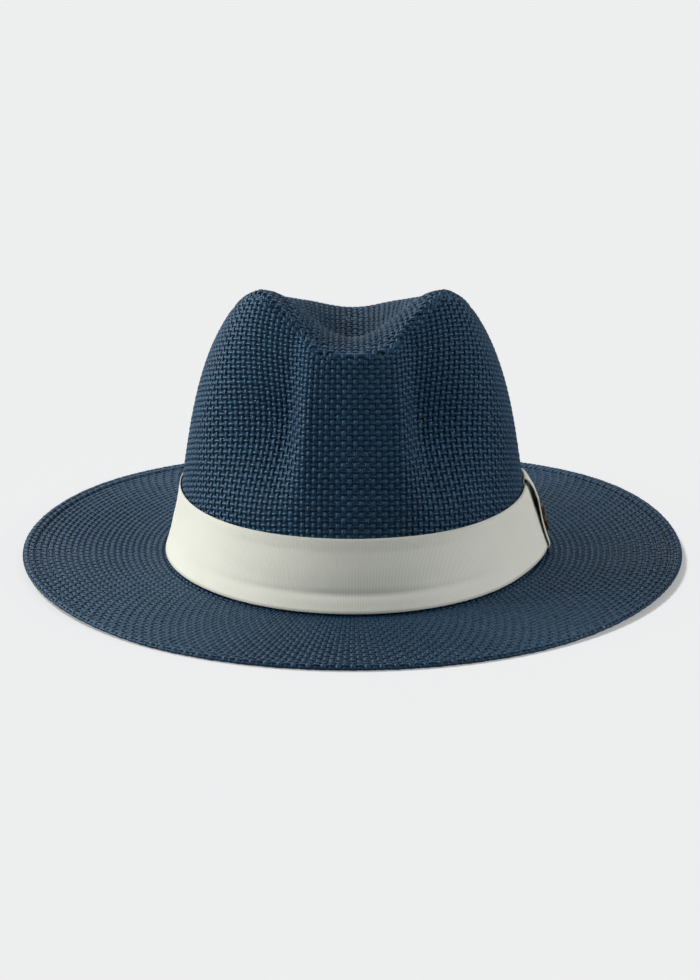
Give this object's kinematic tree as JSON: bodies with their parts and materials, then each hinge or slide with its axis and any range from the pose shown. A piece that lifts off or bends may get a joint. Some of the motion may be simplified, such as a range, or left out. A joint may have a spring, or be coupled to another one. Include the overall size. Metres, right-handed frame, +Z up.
{
  "type": "fedora hat",
  "caption": "Woven straw fedora with a dented and pinched crown, a wide flat brim, a ribbon band with a badged keeper and a sweatband.",
  "frame": {"origin": "under the middle of the brim, on the plane that the brim rests on", "axes": "+Y towards the back of the hat, +X towards the wearer's left, where the keeper is, +Z up"},
  "size_m": [0.2988, 0.3358, 0.1302],
  "materials": {
    "straw_cloth": "plain-woven paper straw, dull with a slight sheen on each strand",
    "seam_tape": "thin woven cotton tape",
    "wire_coating": "plastic-coated millinery wire",
    "joiner_metal": "crimped plain metal",
    "sweatband_cloth": "soft twill tape",
    "label_cloth": "woven satin label, blank",
    "ribbon": "grosgrain with fine upright ribs",
    "badge_metal": "dark antique bronze"
  },
  "bodies": {
    "root": {"crown_wall": "straw_cloth", "crown_tip": "straw_cloth", "tip_seam_tape": "seam_tape", "back_seam_tape": "seam_tape", "brim_lower_ply": "straw_cloth", "brim_upper_ply": "straw_cloth", "brim_edge_wire": "wire_coating", "wire_joiner": "joiner_metal", "sweatband": "sweatband_cloth", "size_label": "label_cloth", "ribbon_band": "ribbon", "ribbon_keeper": "ribbon", "badge_cap": "badge_metal", "badge_backplate": "badge_metal"}
  },
  "joints": []
}
